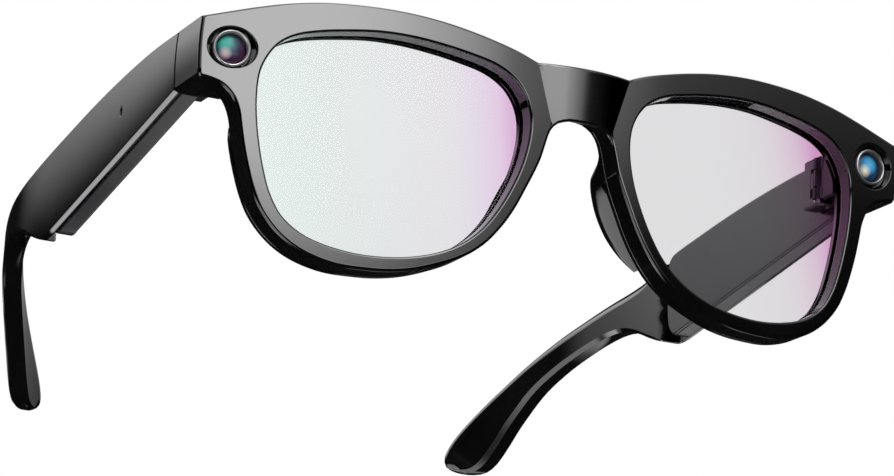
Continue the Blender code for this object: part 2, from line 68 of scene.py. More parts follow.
# Outlines. Their points were projected from the photo through the fitted camera, then evened out.
FRONT_HALF = [
    (9.4, 20.0, 1), (13.5, 21.6), (18.0, 22.9), (23.0, 24.1), (29.0, 25.2), (36.0, 25.9),
    (43.0, 26.0), (50.0, 25.6), (57.0, 24.5), (63.0, 23.0), (68.0, 21.5), (HALF_W - 0.2, END_TOP, 1),
    (HALF_W - 0.01, 16.5), (HALF_W - 0.02, 13.0), (HALF_W - 0.2, END_BOTTOM + 0.7, 1),
    (HALF_W - 0.7, END_BOTTOM, 1), (70.5, 8.2), (68.2, 7.4), (66.4, 5.7),
    (65.2, 3.0), (64.6, 0.0), (63.9, -3.5), (63.0, -7.0), (61.7, -11.0), (59.9, -14.8), (57.2, -18.2),
    (54.0, -20.8), (50.3, -22.6), (45.5, -23.8), (40.5, -24.0), (36.0, -23.8), (31.5, -23.0),
    (27.0, -21.5), (22.0, -19.2), (18.0, -16.2), (14.8, -12.4), (12.4, -8.5), (10.4, -4.3), (8.9, -1.0),
    (7.8, 1.8), (7.1, 4.4), (6.2, 7.3), (4.9, 8.8), (2.9, 9.5),
]
APERTURE = [
    (61.7, 6.5), (61.4, 10.8), (60.2, 14.0), (58.3, 16.6), (55.5, 18.4), (51.5, 19.6), (46.0, 20.5),
    (40.0, 21.1), (34.0, 21.0), (28.0, 20.3), (22.5, 19.3), (17.5, 18.0), (14.0, 16.0), (11.9, 13.5),
    (10.7, 10.5), (10.4, 7.0), (10.8, 3.5), (11.8, -0.5), (13.5, -4.8), (15.8, -9.2), (18.6, -13.2),
    (22.0, -16.3), (26.0, -18.6), (31.0, -20.2), (36.5, -21.0), (42.0, -21.0), (47.5, -20.1),
    (52.0, -18.5), (55.7, -15.7), (58.0, -12.0), (59.4, -8.0), (60.6, -3.0), (61.4, 2.0),
]
TEMPLE = [
    (22.3, 20.8, 1), (30.0, 20.9), (38.0, 20.8), (49.0, 20.2), (60.0, 19.3), (72.0, 18.0),
    (84.0, 16.4), (96.0, 14.7), (106.0, 13.1), (115.0, 11.6), (123.0, 10.2), (131.0, 8.0),
    (139.0, 4.9), (147.0, 0.2), (154.0, -5.7), (159.2, -11.2), (162.8, -16.2), (164.3, -20.0),
    (163.9, -22.4), (162.2, -23.6), (159.8, -24.0), (157.4, -23.6), (155.4, -21.9), (153.2, -18.6),
    (149.9, -13.2), (144.6, -6.8), (138.5, -2.6), (132.0, 0.2), (126.0, 1.9), (120.5, 2.7),
    (115.5, 2.5), (110.5, 1.2), (105.0, -0.9), (100.0, -2.5), (96.0, -3.4), (92.0, -3.2, 1),
    (22.3, 8.5, 1),
]
TEMPLE_TOP = [p[:2] for p in TEMPLE[:9]]
PAD_PATH = [(6.5, 6.8), (7.1, 4.8), (8.1, 1.0), (9.3, -2.0), (10.7, -5.0), (12.3, -8.2), (14.3, -11.4), (16.6, -14.4)]


def face_y(x):
    return 0.00264 * x * x - 1.5e-7 * x**4


def face_slope(x):
    return 0.00528 * x - 6e-7 * x**3


def outer_x(y):
    return 72.9 - 0.009 * (y - 15) - 9.6e-5 * max(0.0, y - 95) ** 2.9


def temple_bottom(y):
    return 8.5 - (y - 22.3) * (11.7 / 69.7)


def temple_top(y):
    for a, b in zip(TEMPLE_TOP, TEMPLE_TOP[1:]):
        if y <= b[0]:
            return a[1] + (b[1] - a[1]) * (y - a[0]) / (b[0] - a[0])
    return TEMPLE_TOP[-1][1]


def clamp(x, low=0.0, high=1.0):
    return min(max(x, low), high)


def ease(x):
    x = clamp(x)
    return x * x * (3 - 2 * x)


def swell(u, v):
    """The bridge swells forward between two creases."""
    edge = 6.0 + 3.6 * (v - 7.6) / 12.4
    if edge <= 0 or abs(u) >= edge - 1e-4:
        return 0.0
    return -BRIDGE_CURVE * (edge**2 - u**2)


# ---- outlines ---------------------------------------------------------------------------------------
def smooth(points, step=STEP):
    """A closed loop through the points, curved everywhere but at the marked corners."""
    n = len(points)
    out = []
    for i in range(n):
        b, c = points[i], points[(i + 1) % n]
        a, d = points[i - 1], points[(i + 2) % n]
        p1, p2 = Vector(b[:2]), Vector(c[:2])
        straight = len(b) > 2 and len(c) > 2
        p0 = p1 * 2 - p2 if len(b) > 2 else Vector(a[:2])
        p3 = p2 * 2 - p1 if len(c) > 2 else Vector(d[:2])
        out.append((b[0], b[1]))
        count = max(1, round((p2 - p1).length / step))
        m1 = (p2 - p0) * ((p2 - p1).length / max((p2 - p1).length + (p1 - p0).length, 1e-6))
        m2 = (p3 - p1) * ((p2 - p1).length / max((p2 - p1).length + (p3 - p2).length, 1e-6))
        for k in range(1, count):
            t = k / count
            h = p1.lerp(p2, t)
            if not straight:
                h = (2 * t**3 - 3 * t**2 + 1) * p1 + (t**3 - 2 * t**2 + t) * m1
                h += (-2 * t**3 + 3 * t**2) * p2 + (t**3 - t**2) * m2
            out.append((h.x, h.y))
    return out


def area(loop):
    return sum(a[0] * b[1] - b[0] * a[1] for a, b in zip(loop, loop[1:] + loop[:1])) / 2


def ccw(loop):
    return loop if area(loop) > 0 else loop[::-1]


def shrink(loop, inset):
    """Moves a counter-clockwise loop inwards by a distance, which may vary from point to point."""
    out = []
    n = len(loop)
    for i in range(n):
        d = inset(*loop[i]) if callable(inset) else inset
        p0, p1, p2 = Vector(loop[i - 1]), Vector(loop[i]), Vector(loop[(i + 1) % n])
        e1, e2 = (p1 - p0).normalized(), (p2 - p1).normalized()
        n1, n2 = Vector((-e1.y, e1.x)), Vector((-e2.y, e2.x))
        m = (n1 + n2).normalized()
        m = m * (d / max(m.dot(n1), 0.5))
        out.append((p1.x + m.x, p1.y + m.y))
    return out


def inside(points, loop):
    """Which of the points lie inside the loop."""
    p = np.asarray(points, float).reshape(-1, 2)
    a = np.asarray(loop, float)
    b = np.roll(a, -1, axis=0)
    crosses = (a[None, :, 1] > p[:, None, 1]) != (b[None, :, 1] > p[:, None, 1])
    rise = np.where(np.abs(b[:, 1] - a[:, 1]) < 1e-12, 1e-12, b[:, 1] - a[:, 1])
    at = a[None, :, 0] + (b[:, 0] - a[:, 0])[None, :] * (p[:, None, 1] - a[None, :, 1]) / rise[None, :]
    return (crosses & (p[:, None, 0] < at)).sum(1) % 2 == 1


def lattice(outer, holes, pitch, keep_off=()):
    """Points in rows inside the outline and clear of its edges."""
    low, high = np.min(outer, axis=0), np.max(outer, axis=0)
    rows = np.arange(low[1] + pitch / 2, high[1], pitch * 0.87)
    grid = np.array([(u + (k % 2) * pitch / 2, v) for k, v in enumerate(rows)
                     for u in np.arange(low[0] + pitch / 3, high[0], pitch)])
    keep = inside(grid, outer)
    for h in holes:
        keep &= ~inside(grid, h)
    grid = grid[keep]
    edges = np.array([p for loop in (outer, *holes) for p in loop] + list(keep_off))
    near = np.min(np.linalg.norm(grid[:, None] - edges[None], axis=2), axis=1) < pitch * 0.62
    return [tuple(map(float, p)) for p in grid[~near]]


def fill(loops, extra, creases):
    """Triangles of the first loop less the others. Indices count the loops' points, then the extra ones."""
    points = [Vector(p) for loop in loops for p in loop] + [Vector(p) for p in extra]
    edges, start = [], 0
    for loop in loops:
        edges += [(start + k, start + (k + 1) % len(loop)) for k in range(len(loop))]
        start += len(loop)
    edges += [(start + a, start + b) for a, b in creases]
    made, _, faces, origin, _, _ = delaunay_2d_cdt(points, edges, [], 0, 1e-6)
    back = {k: o[0] for k, o in enumerate(origin) if o}
    middle = np.array([np.mean([made[k][:] for k in f], axis=0) for f in faces])
    keep = inside(middle, loops[0])
    for h in loops[1:]:
        keep &= ~inside(middle, h)
    return [[back[k] for k in f] for f, ok in zip(faces, keep) if ok and all(k in back for k in f)]


# ---- solids -----------------------------------------------------------------------------------------
def to_frame(p):
    return Vector((p[0], p[1] + MID_Y, p[2] + REST_Z)) * 0.001


def as_piece(name, points, faces, body, material, sharp=32, caps=None):
    """A closed mesh in the row frame that rides on a body. Caps give exact normals for some faces."""
    mesh = bpy.data.meshes.new(name)
    mesh.from_pydata([to_frame(p) for p in points], [], faces)
    bm = bmesh.new()
    bm.from_mesh(mesh)
    bmesh.ops.recalc_face_normals(bm, faces=bm.faces)
    if bm.calc_volume(signed=True) < 0:
        bmesh.ops.reverse_faces(bm, faces=bm.faces)
    bm.to_mesh(mesh)
    bm.free()
    obj = bpy.data.objects.new(name, mesh)
    bpy.context.scene.collection.objects.link(obj)
    mesh.shade_smooth()
    mesh.set_sharp_from_angle(angle=math.radians(sharp))
    if caps:
        normals = [Vector((0, 0, 0))] * len(mesh.loops)
        for poly in mesh.polygons:
            if poly.index not in caps:
                continue
            surface, flat = caps[poly.index]
            middle = (sum(p[0] for p in flat) / len(flat), sum(p[1] for p in flat) / len(flat))
            chart = {v: p for v, p in zip(faces[poly.index], flat)}
            for k in poly.loop_indices:
                u, v = chart[mesh.loops[k].vertex_index]
                u, v = u * 0.94 + middle[0] * 0.06, v * 0.94 + middle[1] * 0.06
                h = 0.01
                along = Vector(surface(u + h, v)) - Vector(surface(u - h, v))
                across = Vector(surface(u, v + h)) - Vector(surface(u, v - h))
                normal = along.cross(across).normalized()
                normals[k] = normal if normal.dot(poly.normal) > 0 else -normal
        mesh.normals_split_custom_set(normals)
    mesh.materials.append(material)
    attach(obj, body)
    return obj


def scaled(value, k):
    return (lambda u, v: value(u, v) * k) if callable(value) else value * k


def rounding(radius, base, n=5):
    """Levels of a quarter-round edge, from the face out to the side wall."""
    out = []
    for k in range(n + 1):
        a = math.pi / 2 * k / n
        out.append((scaled(radius, 1 - math.sin(a)), base, scaled(radius, 1 - math.cos(a))))
    return out


def plate(name, outer, levels, front, back, place, body, material, holes=(), pockets=(), creases=None,
          press=None, pitch=PITCH, sharp=32):
    """A solid between two depth fields. Levels are (inset, field, shift, sideways) from the front face to
    the back one; holes carry levels of their own, and pockets open on the back down to a floor."""
    points, faces, caps = [], [], {}
    field = {"f": front, "b": back}

    def ring(loop, base, shift, pressed):
        first = len(points)
        for u, v in loop:
            s = shift(u, v) if callable(shift) else shift
            d = field[base](u, v) + (s if base == "f" else -s)
            if pressed and press:
                d += press(u, v)
            points.append(place(u, v, d))
        return list(range(first, len(points)))

    def wall(a, b):
        for k in range(len(a)):
            j = (k + 1) % len(a)
            faces.append([a[k], a[j], b[j], b[k]])

    ends = ([], [])
    for loop, lv, sign in [(ccw(outer), levels, 1)] + [(ccw(h), hl, -1) for h, hl in holes]:
        rings = []
        for level in lv:
            inset, base, shift = level[:3]
            moved = shrink(loop, scaled(inset, sign))
            if len(level) > 3:
                moved = [(u + level[3], v) for u, v in moved]
            rings.append((moved, ring(moved, base, shift, base == "f")))
        for (_, a), (_, b) in zip(rings, rings[1:]):
            wall(a, b)
        ends[0].append(rings[0])
        ends[1].append(rings[-1])
    for loop, floor in pockets:
        loop = ccw(loop)
        mouth, bottom = ring(loop, "b", 0, False), ring(loop, "f", floor, False)
        wall(mouth, bottom)
        ends[1].append((loop, mouth))
        faces.extend([bottom[k] for k in t] for t in fill([loop], [], []))
    for side, rings in enumerate(ends):
        lines, seams = creases if creases and side == 0 else ([], [])
        loops = [r[0] for r in rings]
        more = lines + lattice(loops[0], loops[1:], pitch, lines)
        if side == 0:
            surface = lambda u, v: place(u, v, front(u, v) + (press(u, v) if press else 0))
        else:
            surface = lambda u, v: place(u, v, back(u, v))
        index = [k for _, r in rings for k in r]
        first = len(points)
        points.extend(surface(u, v) for u, v in more)
        index += list(range(first, len(points)))
        chart = [p for loop in loops for p in loop] + more
        for t in fill(loops, more, seams):
            caps[len(faces)] = (surface, [chart[k] for k in t])
            faces.append([index[k] for k in t])
    return as_piece(name, points, faces, body, material, sharp, caps)


def turned(name, profile, centre, axis, body, material, n=64, sharp=32):
    """A solid of revolution. The profile holds (radius, height) pairs; a zero radius closes on the axis."""
    turn = Vector((0, 0, 1)).rotation_difference(Vector(axis)).to_matrix()
    points, faces, rings = [], [], []
    for r, h in profile:
        if r == 0:
            rings.append([len(points)] * n)
            points.append(Vector(centre) + turn @ Vector((0, 0, h)))
            continue
        rings.append(list(range(len(points), len(points) + n)))
        for k in range(n):
            a = math.tau * k / n
            points.append(Vector(centre) + turn @ Vector((r * math.cos(a), r * math.sin(a), h)))
    pairs = list(zip(rings, rings[1:])) + ([(rings[-1], rings[0])] if profile[0][0] > 0 else [])
    for a, b in pairs:
        for k in range(n):
            j = (k + 1) % n
            face = []
            for v in (a[k], a[j], b[j], b[k]):
                if v not in face:
                    face.append(v)
            if len(face) > 2:
                faces.append(face)
    return as_piece(name, points, faces, body, material, sharp)


def front_place(u, v, d):
    near = max(0.0, 1 - (u / 8.5) ** 2) * clamp((14.0 - v) / 4.5)
    return (u, d, v + 0.32 * near * (d - face_y(u)))


def side_place(sign):
    return lambda u, v, d: (-sign * d, u, v)


def mirrored(loop):
    return [(-u, v) for u, v in loop][::-1]


# ---- materials --------------------------------------------------------------------------------------
def node(tree, kind, **values):
    made = tree.nodes.new(kind)
    for key, value in values.items():
        setattr(made, key, value)
    return made


def link(tree, source, target):
    tree.links.new(source, target)


def moulded(name, dark, light, roughness, spread, grain=900.0, bump=0.02, metallic=0.0, coat=0.0):
    """A surface whose colour and roughness vary a little, with a fine grain."""
    material = bpy.data.materials.new(name)
    material.use_nodes = True
    tree = material.node_tree
    shader = tree.nodes["Principled BSDF"]
    shader.inputs["Metallic"].default_value = metallic
    shader.inputs["IOR"].default_value = 1.5
    shader.inputs["Coat Weight"].default_value = coat
    shader.inputs["Coat Roughness"].default_value = 0.03
    place = node(tree, "ShaderNodeTexCoord")
    cloud = node(tree, "ShaderNodeTexNoise")
    cloud.inputs["Scale"].default_value = 55.0
    cloud.inputs["Detail"].default_value = 3.0
    fine = node(tree, "ShaderNodeTexNoise")
    fine.inputs["Scale"].default_value = grain
    fine.inputs["Detail"].default_value = 2.0
    for texture in (cloud, fine):
        link(tree, place.outputs["Object"], texture.inputs["Vector"])
    colours = node(tree, "ShaderNodeValToRGB")
    colours.color_ramp.elements[0].position, colours.color_ramp.elements[0].color = 0.35, (*dark, 1)
    colours.color_ramp.elements[1].position, colours.color_ramp.elements[1].color = 0.68, (*light, 1)
    link(tree, cloud.outputs["Fac"], colours.inputs["Fac"])
    link(tree, colours.outputs["Color"], shader.inputs["Base Color"])
    rough = node(tree, "ShaderNodeMapRange")
    rough.inputs["From Min"].default_value, rough.inputs["From Max"].default_value = 0.3, 0.7
    rough.inputs["To Min"].default_value, rough.inputs["To Max"].default_value = roughness, roughness + spread
    link(tree, cloud.outputs["Fac"], rough.inputs["Value"])
    link(tree, rough.outputs["Result"], shader.inputs["Roughness"])
    raised = node(tree, "ShaderNodeBump")
    raised.inputs["Strength"].default_value = bump
    raised.inputs["Distance"].default_value = 0.0001
    link(tree, fine.outputs["Fac"], raised.inputs["Height"])
    link(tree, raised.outputs["Normal"], shader.inputs["Normal"])
    return material


def across(tree, direction, start, end):
    """0 to 1 along a direction of the object, between two distances in millimetres."""
    place = node(tree, "ShaderNodeTexCoord")
    dot = node(tree, "ShaderNodeVectorMath", operation="DOT_PRODUCT")
    dot.inputs[1].default_value = Vector(direction).normalized() * 1000
    link(tree, place.outputs["Object"], dot.inputs[0])
    ranged = node(tree, "ShaderNodeMapRange")
    ranged.inputs["From Min"].default_value, ranged.inputs["From Max"].default_value = start, end
    link(tree, dot.outputs["Value"], ranged.inputs["Value"])
    return ranged.outputs["Result"]


def ramp(tree, source, stops):
    made = node(tree, "ShaderNodeValToRGB")
    made.color_ramp.elements[0].position, made.color_ramp.elements[0].color = stops[0][0], (*stops[0][1], 1)
    made.color_ramp.elements[1].position, made.color_ramp.elements[1].color = stops[-1][0], (*stops[-1][1], 1)
    for position, colour in stops[1:-1]:
        made.color_ramp.elements.new(position).color = (*colour, 1)
    link(tree, source, made.inputs["Fac"])
    return made.outputs["Color"]


def clear_lens(name, direction, start, end, stops):
    """Coated clear lens whose transmission colour changes from one side to the other: a pale tint, with a painted
    reflection of the coating, magenta, towards one side.
    """
    material = bpy.data.materials.new(name)
    material.use_nodes = True
    tree = material.node_tree
    shader = tree.nodes["Principled BSDF"]
    shader.inputs["Transmission Weight"].default_value = 1.0
    shader.inputs["Roughness"].default_value = 0.0
    shader.inputs["IOR"].default_value = 1.12
    link(tree, ramp(tree, across(tree, direction, start, end), stops), shader.inputs["Base Color"])
    return material


def camera_glass(name, centre, colours, painted_glint, painted_glint_at):
    """Dark coated glass: rings of colour round a point off the centre, partly the coating's tint and partly painted
    reflection, and a soft pale patch that is a painted highlight.
    """
    material = bpy.data.materials.new(name)
    material.use_nodes = True
    tree = material.node_tree
    shader = tree.nodes["Principled BSDF"]
    shader.inputs["Roughness"].default_value = 0.22
    shader.inputs["Specular IOR Level"].default_value = 0.15
    place = node(tree, "ShaderNodeTexCoord")

    def distance(at, reach):
        away = node(tree, "ShaderNodeVectorMath", operation="DISTANCE")
        away.inputs[1].default_value = to_frame(at)
        link(tree, place.outputs["Object"], away.inputs[0])
        ranged = node(tree, "ShaderNodeMapRange")
        ranged.inputs["From Max"].default_value = reach * 0.001
        link(tree, away.outputs["Value"], ranged.inputs["Value"])
        return ranged.outputs["Result"]

    base = ramp(tree, distance(centre, 4.6), colours)
    painted_highlight = ramp(tree, distance(painted_glint_at, 1.5), [(0.0, (1, 1, 1)), (1.0, (0, 0, 0))])
    mix = node(tree, "ShaderNodeMix", data_type="RGBA")
    link(tree, painted_highlight, mix.inputs["Factor"])
    link(tree, base, mix.inputs["A"])
    mix.inputs["B"].default_value = (*painted_glint, 1)
    link(tree, mix.outputs["Result"], shader.inputs["Base Color"])
    return material


BLACK = moulded("gloss_black", (0.0018, 0.0018, 0.002), (0.0035, 0.0035, 0.0038), 0.035, 0.03, bump=0.006)
INNER = moulded("inner_black", (0.014, 0.014, 0.016), (0.022, 0.021, 0.024), 0.16, 0.08, bump=0.05)
DARK = moulded("matte_black", (0.010, 0.010, 0.011), (0.020, 0.020, 0.022), 0.45, 0.15, bump=0.2)
HINGE = moulded("hinge_metal", (0.028, 0.028, 0.030), (0.05, 0.05, 0.052), 0.25, 0.12, metallic=0.6, bump=0.1)
STEEL = moulded("pin_steel", (0.42, 0.42, 0.44), (0.55, 0.55, 0.57), 0.22, 0.15, metallic=1.0, bump=0.1)
# One bezel finish in two copies for the two cameras: a lighter copy with painted light and a darker copy with painted
# shade.
RING_PAINTED_LIGHT = moulded("ring_painted_light", (0.34, 0.34, 0.35), (0.46, 0.46, 0.47), 0.24, 0.10, metallic=0.7, bump=0.05)
RING_PAINTED_SHADE = moulded("ring_painted_shade", (0.14, 0.14, 0.145), (0.21, 0.21, 0.215), 0.26, 0.10, metallic=0.7, bump=0.05)
BOARD = moulded("board_green", (0.008, 0.075, 0.03), (0.02, 0.13, 0.055), 0.35, 0.2, grain=300, bump=0.3)
FOIL = moulded("battery_foil", (0.40, 0.40, 0.42), (0.55, 0.55, 0.57), 0.3, 0.15, metallic=0.8, grain=350, bump=0.25)
BRASS = moulded("microphone_brass", (0.5, 0.40, 0.22), (0.68, 0.56, 0.33), 0.25, 0.15, metallic=1.0, bump=0.1)


# ---- front body -------------------------------------------------------------------------------------
def smooth_open(points):
    ends = [tuple(points[0][:2]) + (1,), *points[1:-1], tuple(points[-1][:2]) + (1,)]
    loop = smooth(ends)
    return loop[: loop.index((points[-1][0], points[-1][1])) + 1]


def front_outline():
    top = [(1.6 * k, 20.0) for k in range(1, 6)]
    half = [*top, *smooth_open(FRONT_HALF), (1.5, 9.59)]
    return [(0.0, 20.0), *half, (0.0, 9.6), *((-u, v) for u, v in half[::-1])]


def cover_outline():
    half = smooth_open(FRONT_HALF)
    top = [p for p in half[: half.index((HALF_W - 0.2, END_TOP))] if p[0] < 62.6]
    low = [p for p in half[half.index((HALF_W - 0.7, END_BOTTOM)) :] if p[1] < 3.2 or p[0] < 50]
    half = top + [(63.4, 22.5), (63.4, 4.4)] + [p for p in low if p[0] < 64.9]
    half = [(min(u, 64.4), v) for u, v in half]
    return [*half, (1.5, 9.59), (0.0, 9.6), *((-u, v) for u, v in half[::-1])]


def circle(x, z, r, n=64):
    return [(x + r * math.cos(math.tau * k / n), z + r * math.sin(math.tau * k / n)) for k in range(n)]


def make_front():
    window = smooth(APERTURE)
    seat = rounding(0.45, "f", 4) + [(0, "f", 0.55), (0, "f", LENS_SEAT), (POCKET, "f", LENS_SEAT), (POCKET, "b", 0)]
    holes = [(window, seat), (mirrored(window), seat)]
    for sign in (1, -1):
        lean = -sign * face_slope(CAM_X)

        def mouth(u, v, k=1.0, extra=0.0, sign=sign):
            if sign > 0:
                return 0.3 * k + extra
            angle = math.atan2(v - CAM_Z, u + CAM_X)
            reach = RECESS_W * RECESS_H / math.hypot(RECESS_H * math.cos(angle), RECESS_W * math.sin(angle))
            return (reach - BORE_R) * k + extra

        bore = [(lambda u, v, a=a: mouth(u, v, 1, a), "f", s) for a, _, s in rounding(0.22, "f", 4)]
        bore += [(mouth, "f", 0.9, 0.9 * lean), (lambda u, v: mouth(u, v, 0.9), "f", 1.1, 1.1 * lean),
                 (0, "f", 1.3, 1.3 * lean), (0, "f", 4.5, 4.5 * lean), (0, "b", 0, FRONT_T * lean)]
        holes.append((circle(sign * CAM_X, CAM_Z, BORE_R), bore))
    lines, seams = [], []
    for sign in (-1, 1):
        first = len(lines)
        for k in range(12):
            t = 0.13 + 0.80 * k / 11
            lines.append((sign * (6.0 + 3.6 * t), 7.6 + 12.4 * t))
        seams += [(first + k, first + k + 1) for k in range(11)]
    edge = [
        *rounding(0.6, "f", 5), (0, "f", 0.72), (0, "b", lambda u, v: 0.3 if abs(u) < 64 else 0.012),
        *rounding(lambda u, v: 0.2 if abs(u) < 64 else 0.01, "b", 2)[::-1],
    ]
    shell = plate("front_shell", front_outline(), edge,
                  lambda u, v: face_y(u), lambda u, v: face_y(u) + FRONT_T, front_place, "front", BLACK,
                  holes=holes, creases=(lines, seams), press=swell)
    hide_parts("front_frame")
    for sign, side in ((1, "left"), (-1, "right")):
        half = smooth_open(FRONT_HALF)
        rim = [p for p in half if p[0] > 64.2 and p[1] >= END_BOTTOM - 1e-6]
        loop = [(64.0, 22.67), *rim, (64.0, END_BOTTOM)]
        loop = loop if sign > 0 else mirrored(loop)
        bay = [(64.8, 10.2), (71.6, 10.2), (71.6, 18.9), (64.8, 18.9)]
        bay = bay if sign > 0 else mirrored(bay)
        block = plate("endpiece_block_" + side, loop,
                      [(0, "f", 0), (0, "b", 0.32), *rounding(0.25, "b", 3)[::-1]],
                      lambda u, v: face_y(u) + FRONT_T - 0.02, lambda u, v: SEAM_Y, lambda u, v, d: (u, d, v),
                      "front", BLACK, pockets=[(bay, 0.6)])


def make_cover():
    start = FRONT_T + COVER_GAP
    window = smooth(APERTURE)
    edge = [*rounding(0.12, "f", 2), (0, "f", 0.2), (0, "b", 0.6), *rounding(0.5, "b", 4)[::-1]]
    cover = plate("rear_rim_cover", cover_outline(), edge, lambda u, v: face_y(u) + start,
                  lambda u, v: face_y(u) + start + COVER_T, front_place, "front", BLACK,
                  holes=[(window, edge), (mirrored(window), edge)])
    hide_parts("rear_cover")
    for sign, side in ((1, "left"), (-1, "right")):
        make_pad(sign, side)


def make_pad(sign, side):
    """A nose pad lobe that grows out of the back of the rim beside the bridge."""
    path = smooth([(*PAD_PATH[0], 1), *PAD_PATH[1:-1], (*PAD_PATH[-1], 1), (40, 0, 1)], 0.6)
    path = path[: path.index(PAD_PATH[-1]) + 1]
    points, faces, n = [], [], None
    for k, (u, v) in enumerate(path):
        a, b = path[max(k - 1, 0)], path[min(k + 1, len(path) - 1)]
        along = Vector((b[0] - a[0], b[1] - a[1])).normalized()
        normal = Vector((along.y, -along.x))
        if normal.x > 0:
            normal = -normal
        t = k / (len(path) - 1)
        rise = math.sin(math.pi * (0.06 + 0.88 * t)) ** 0.8
        depth, bulge = 5.6 * rise * ease(t / 0.22 + 0.1), 1.0 * rise
        sink = 0.8 * (1 - ease(t / 0.2))
        back = face_y(u) + FRONT_T + COVER_GAP + COVER_T
        shape = smooth([(-0.5, -1.0, 1), (bulge * 0.45, depth * 0.22), (bulge, depth * 0.55),
                        (bulge * 0.8, depth * 0.85), (-0.2, depth), (-1.3, depth * 0.9),
                        (-1.9, depth * 0.5), (-2.1, -1.0, 1)], 99)
        shape = subdivided(shape, 4)
        n = len(shape)
        for out, deep in shape:
            points.append((sign * (u + normal.x * (out - sink)), back + deep, v + normal.y * (out - sink)))
    faces = [list(range(n)), list(range(len(points) - 1, len(points) - n - 1, -1))]
    for k in range(len(path) - 1):
        for j in range(n):
            i = (j + 1) % n
            faces.append([k * n + j, k * n + i, (k + 1) * n + i, (k + 1) * n + j])
    return as_piece("nose_pad_" + side, points, faces, "front", BLACK, 60)


def subdivided(loop, count):
    """The same number of points between each pair, on a smooth curve with its two ends as corners."""
    n = len(loop)
    out = []
    for i in range(n - 1):
        p0, p1 = Vector(loop[max(i - 1, 0)]), Vector(loop[i])
        p2, p3 = Vector(loop[i + 1]), Vector(loop[min(i + 2, n - 1)])
        for k in range(count):
            t = k / count
            h = 0.5 * (2 * p1 + (p2 - p0) * t + (2 * p0 - 5 * p1 + 4 * p2 - p3) * t**2
                       + (3 * p1 - p0 - 3 * p2 + p3) * t**3)
            out.append((h.x, h.y))
    return [*out, tuple(loop[-1])]


# Two copies of one lens glass. Their pale tints differ, and the magenta towards one side of each is a painted
# reflection of the coating, put into the colour seen through the glass.
GREEN_LENS_PAINTED_REFLECTION = clear_lens("lens_tint_painted_reflection_right", (1, 0, 0.12), -62.0, -8.5, [
    (0.0, (0.76, 0.85, 0.815)), (0.35, (0.75, 0.80, 0.785)), (0.62, (0.765, 0.77, 0.78)),
    (0.78, (0.768, 0.75, 0.785)), (0.875, (0.761, 0.68, 0.79)), (0.953, (0.761, 0.60, 0.768)),
    (1.0, (0.70, 0.46, 0.69))])
GREY_LENS_PAINTED_REFLECTION = clear_lens("lens_tint_painted_reflection_left", (1, 0, 0.30), 12.0, 64.5, [
    (0.0, (0.735, 0.735, 0.745)), (0.5, (0.735, 0.73, 0.742)), (0.72, (0.72, 0.70, 0.725)),
    (0.81, (0.716, 0.644, 0.708)), (0.90, (0.68, 0.54, 0.65)), (0.95, (0.66, 0.44, 0.62)),
    (1.0, (0.62, 0.30, 0.54))])


def make_optics(sign, side):
    window = shrink(ccw(smooth(APERTURE)), -(POCKET - 0.3))
    if sign < 0:
        window = mirrored(window)
    level = LENS_SEAT + 0.15
    lens = plate("lens_sheet_" + side, window, [*rounding(0.12, "f", 2), *rounding(0.25, "b", 3)[::-1]],
                 lambda u, v: face_y(u) + level, lambda u, v: face_y(u) + level + LENS_T, front_place,
                 "front", GREEN_LENS_PAINTED_REFLECTION if sign < 0 else GREY_LENS_PAINTED_REFLECTION, pitch=3.0)
    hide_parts("lens_" + side)
    out = Vector((sign * face_slope(CAM_X), -1, 0)).normalized()
    at = Vector((sign * CAM_X, face_y(CAM_X), CAM_Z))
    ring = turned("camera_bezel_" + side,
                  [(3.5, -0.55), (3.5, -3.0), (2.95, -3.0), (2.95, -0.75), (3.0, -0.55), (3.12, -0.42), (3.24, -0.38),
                   (3.38, -0.42)], at, out, "front", RING_PAINTED_LIGHT if sign < 0 else RING_PAINTED_SHADE, n=96)
    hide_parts("camera_ring_" + side)
    dome = [(2.75 * math.cos(a), -1.62 + 0.82 * math.sin(a)) for a in (math.pi / 2 * k / 10 for k in range(10))]
    # Each camera's coating colours, partly painted reflection, and a pale painted highlight patch at a given point.
    if sign < 0:
        glass = camera_glass("camera_coating_painted_glint_right", (-68.3, 9.6, 15.9),
                             [(0.0, (0.06, 0.40, 0.30)), (0.25, (0.03, 0.26, 0.22)), (0.45, (0.015, 0.07, 0.09)),
                              (0.7, (0.02, 0.012, 0.04)), (1.0, (0.05, 0.012, 0.035))],
                             (0.62, 0.46, 0.50), (-68.0, 9.5, 13.7))
    else:
        glass = camera_glass("camera_coating_painted_glint_left", (66.7, 9.7, 15.2),
                             [(0.0, (0.09, 0.36, 0.58)), (0.25, (0.035, 0.24, 0.46)), (0.45, (0.008, 0.04, 0.10)),
                              (1.0, (0.006, 0.006, 0.02))],
                             (0.75, 0.68, 0.52), (65.7, 9.5, 13.8))
    window = turned("camera_dome_" + side, [(0, -2.6), (2.75, -2.6), *dome, (0, -0.8)], at, out, "front", glass, n=96)
    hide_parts("camera_window_" + side)


# ---- temples ----------------------------------------------------------------------------------------
def thickness(y):
    return SPLIT_T + (HOOK_T - SPLIT_T) * clamp((y - HOUSING_END - 0.8) / 4.0)


HOOK_MIDDLE = [(95, 5.5), (110, 6.8), (120, 6.5), (130, 3.8), (140, -1.0), (150, -8.5), (158, -17.0), (161, -24.0)]


def upper(u, v):
    """1 above the middle line of the ear hook, 0 below it."""
    best, side = 1e9, 0.0
    for a, b in zip(HOOK_MIDDLE, HOOK_MIDDLE[1:]):
        a, b, p = Vector(a), Vector(b), Vector((u, v))
        along = b - a
        t = clamp((p - a).dot(along) / along.length_squared)
        away = p - a - along * t
        if away.length < best:
            best = away.length
            side = best if along.x * away.y - along.y * away.x > 0 else -best
    return ease((side + 1.2) / 2.4)


